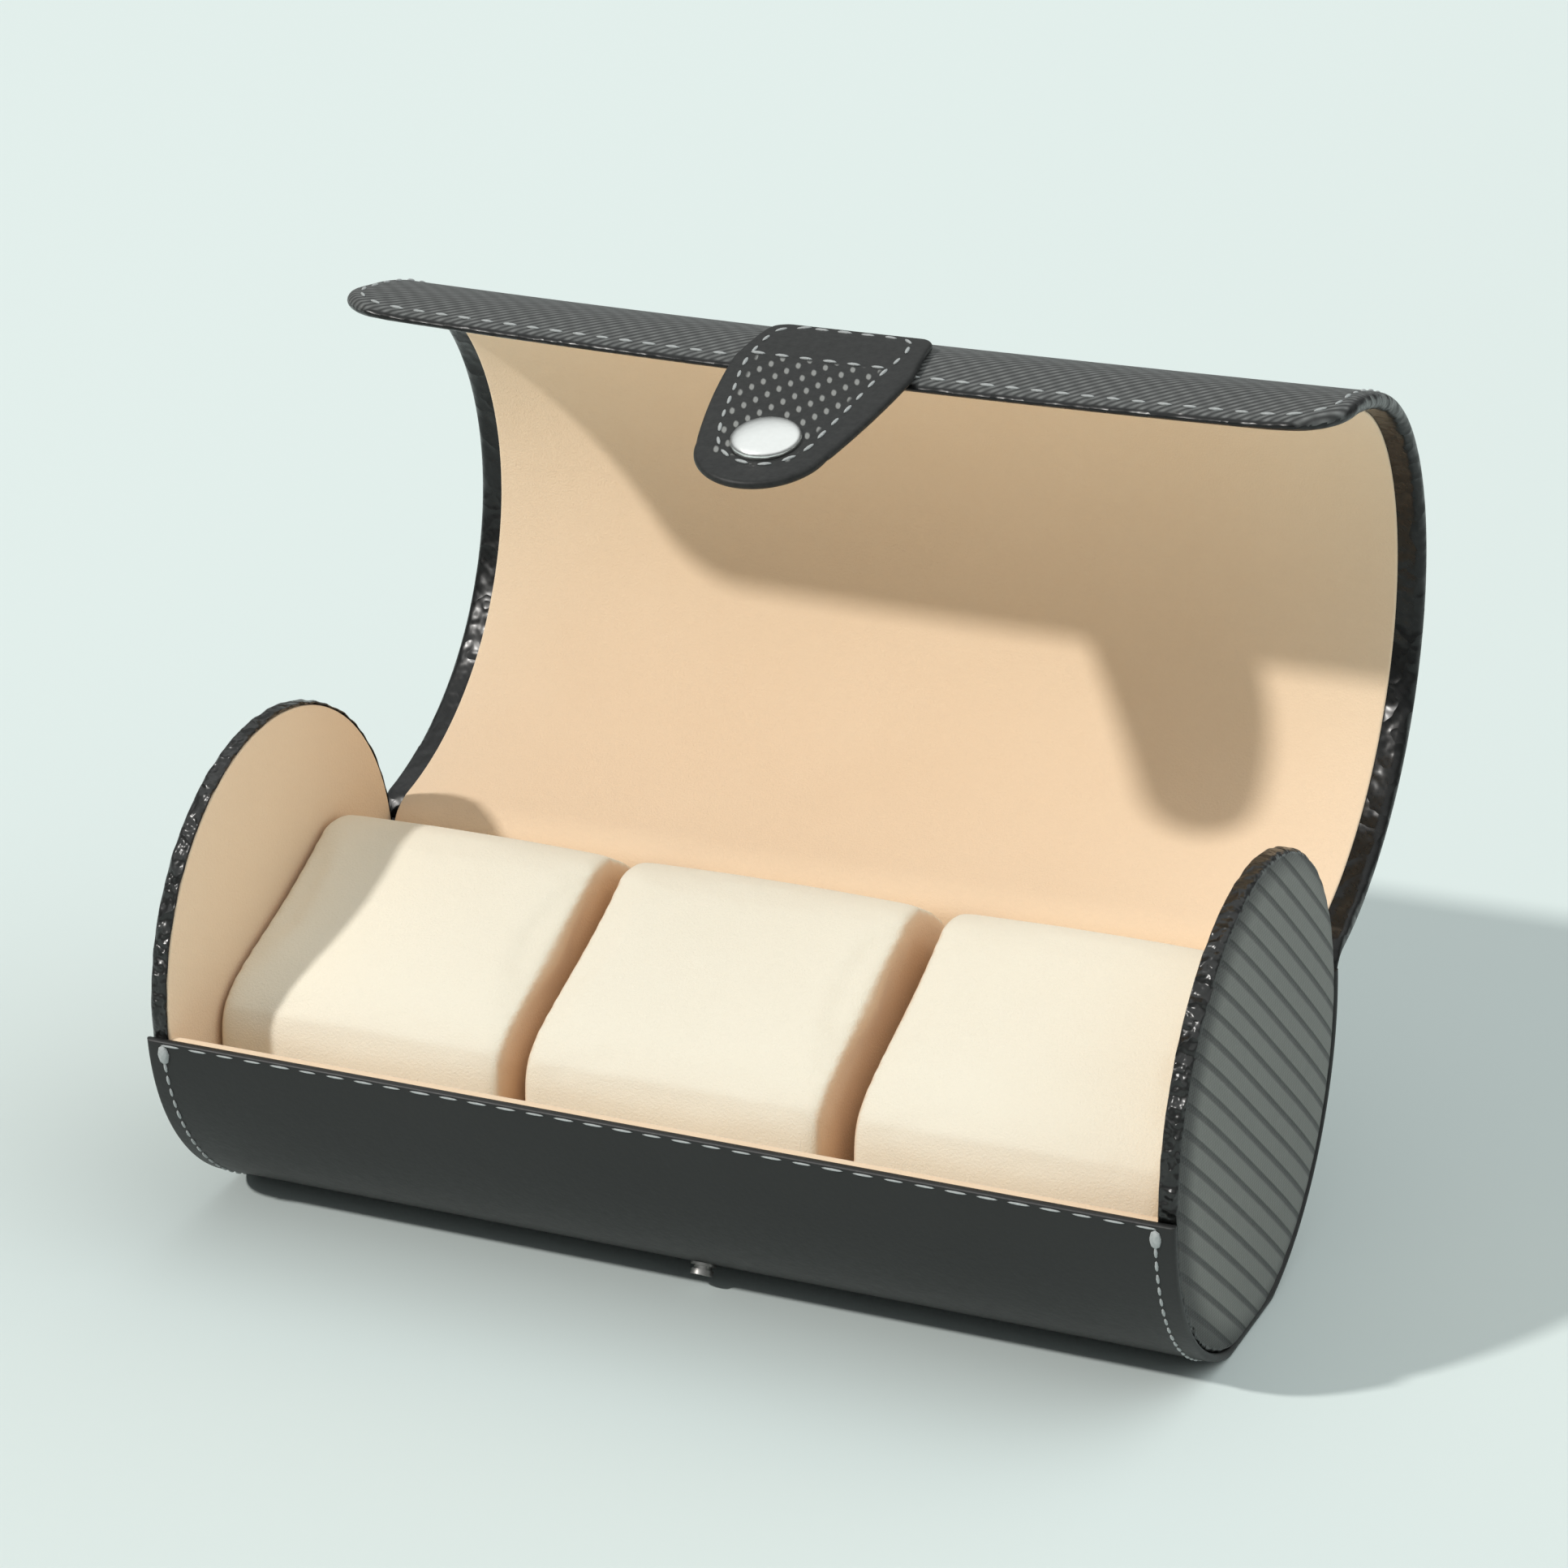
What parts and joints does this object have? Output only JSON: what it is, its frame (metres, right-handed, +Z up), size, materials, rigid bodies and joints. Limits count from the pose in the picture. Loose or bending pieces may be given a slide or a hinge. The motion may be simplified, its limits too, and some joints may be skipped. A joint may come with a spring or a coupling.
{
  "type": "watch roll",
  "caption": "Round leather-covered roll for watches, with padded velour pillows, a bending lid hinged at the back and a snap tab.",
  "frame": {"origin": "middle of the narrow flat on which the roll rests, under the roll's axis", "axes": "+X along the roll, to the right in the picture; +Y towards the hinged back; +Z up"},
  "size_m": [0.2, 0.1412, 0.1632],
  "materials": {
    "smooth_leather": "satin",
    "carbon_leather": "fine diagonal twill emboss, semi gloss",
    "tab_leather": "basket emboss, semi gloss",
    "velour_lining": "short velour",
    "pillow_velour": "short velour",
    "pillow_foam": "foam",
    "greyboard": "matt",
    "lid_board": "matt",
    "snap_metal": "polished",
    "washer_metal": "plain"
  },
  "bodies": {
    "root": {"base_cover": "smooth_leather", "base_board": "greyboard", "base_lining": "velour_lining", "left_cap_cover": "carbon_leather", "left_cap_board": "greyboard", "left_cap_lining": "velour_lining", "right_cap_cover": "carbon_leather", "right_cap_board": "greyboard", "right_cap_lining": "velour_lining", "snap_stud": "snap_metal", "stud_washer": "washer_metal"},
    "lid_1": {"lid_cover_1": "carbon_leather", "lid_board_1": "lid_board", "lid_lining_1": "velour_lining"},
    "lid_2": {"lid_cover_2": "carbon_leather", "lid_board_2": "lid_board", "lid_lining_2": "velour_lining"},
    "lid_3": {"lid_cover_3": "carbon_leather", "lid_board_3": "lid_board", "lid_lining_3": "velour_lining"},
    "lid_4": {"lid_cover_4": "carbon_leather", "lid_board_4": "lid_board", "lid_lining_4": "velour_lining"},
    "lid_5": {"lid_cover_5": "carbon_leather", "lid_board_5": "lid_board", "lid_lining_5": "velour_lining", "tab_heel_cover": "tab_leather", "tab_heel_core": "lid_board"},
    "tab": {"tab_cover": "tab_leather", "tab_core": "lid_board", "tab_backing": "tab_leather", "snap_cap": "snap_metal", "snap_socket": "snap_metal"},
    "pillow_1": {"pillow_1_cover": "pillow_velour", "pillow_1_core": "pillow_foam"},
    "pillow_2": {"pillow_2_cover": "pillow_velour", "pillow_2_core": "pillow_foam"},
    "pillow_3": {"pillow_3_cover": "pillow_velour", "pillow_3_core": "pillow_foam"}
  },
  "joints": [
    {"name": "lid_hinge", "type": "hinge", "parent": "root", "child": "lid_1", "pos_m": [0, 0.0455, 0.05701], "axis": [-1, 0, 0], "range_deg": [-97.1, 25]},
    {"name": "lid_flex_1", "type": "hinge", "parent": "lid_1", "child": "lid_2", "pos_m": [0, 0.07551, 0.07025], "axis": [-1, 0, 0], "range_deg": [-7.78, 2.23]},
    {"name": "lid_flex_2", "type": "hinge", "parent": "lid_2", "child": "lid_3", "pos_m": [0, 0.09203, 0.09915], "axis": [-1, 0, 0], "range_deg": [-2.74, 0.93]},
    {"name": "lid_flex_3", "type": "hinge", "parent": "lid_3", "child": "lid_4", "pos_m": [0, 0.08797, 0.13219], "axis": [-1, 0, 0], "range_deg": [-1.29, 4.13]},
    {"name": "lid_flex_4", "type": "hinge", "parent": "lid_4", "child": "lid_5", "pos_m": [0, 0.06315, 0.15435], "axis": [-1, 0, 0], "range_deg": [-8.41, 2.39]},
    {"name": "tab_flex", "type": "hinge", "parent": "lid_5", "child": "tab", "pos_m": [0, 0.03033, 0.16229], "axis": [-1, 0, 0], "range_deg": [-7, 25]},
    {"name": "pillow_1_lift", "type": "slide", "parent": "root", "child": "pillow_1", "axis": [0, 0, 1], "range_m": [0, 0.07]},
    {"name": "pillow_2_lift", "type": "slide", "parent": "root", "child": "pillow_2", "axis": [0, 0, 1], "range_m": [0, 0.07]},
    {"name": "pillow_3_lift", "type": "slide", "parent": "root", "child": "pillow_3", "axis": [0, 0, 1], "range_m": [0, 0.07]}
  ],
  "couplings": [
    {"joint": "lid_flex_1", "follows": "lid_hinge", "ratio": 0.07704},
    {"joint": "lid_flex_2", "follows": "lid_hinge", "ratio": 0.02516},
    {"joint": "lid_flex_3", "follows": "lid_hinge", "ratio": -0.03949},
    {"joint": "lid_flex_4", "follows": "lid_hinge", "ratio": 0.08354}
  ]
}
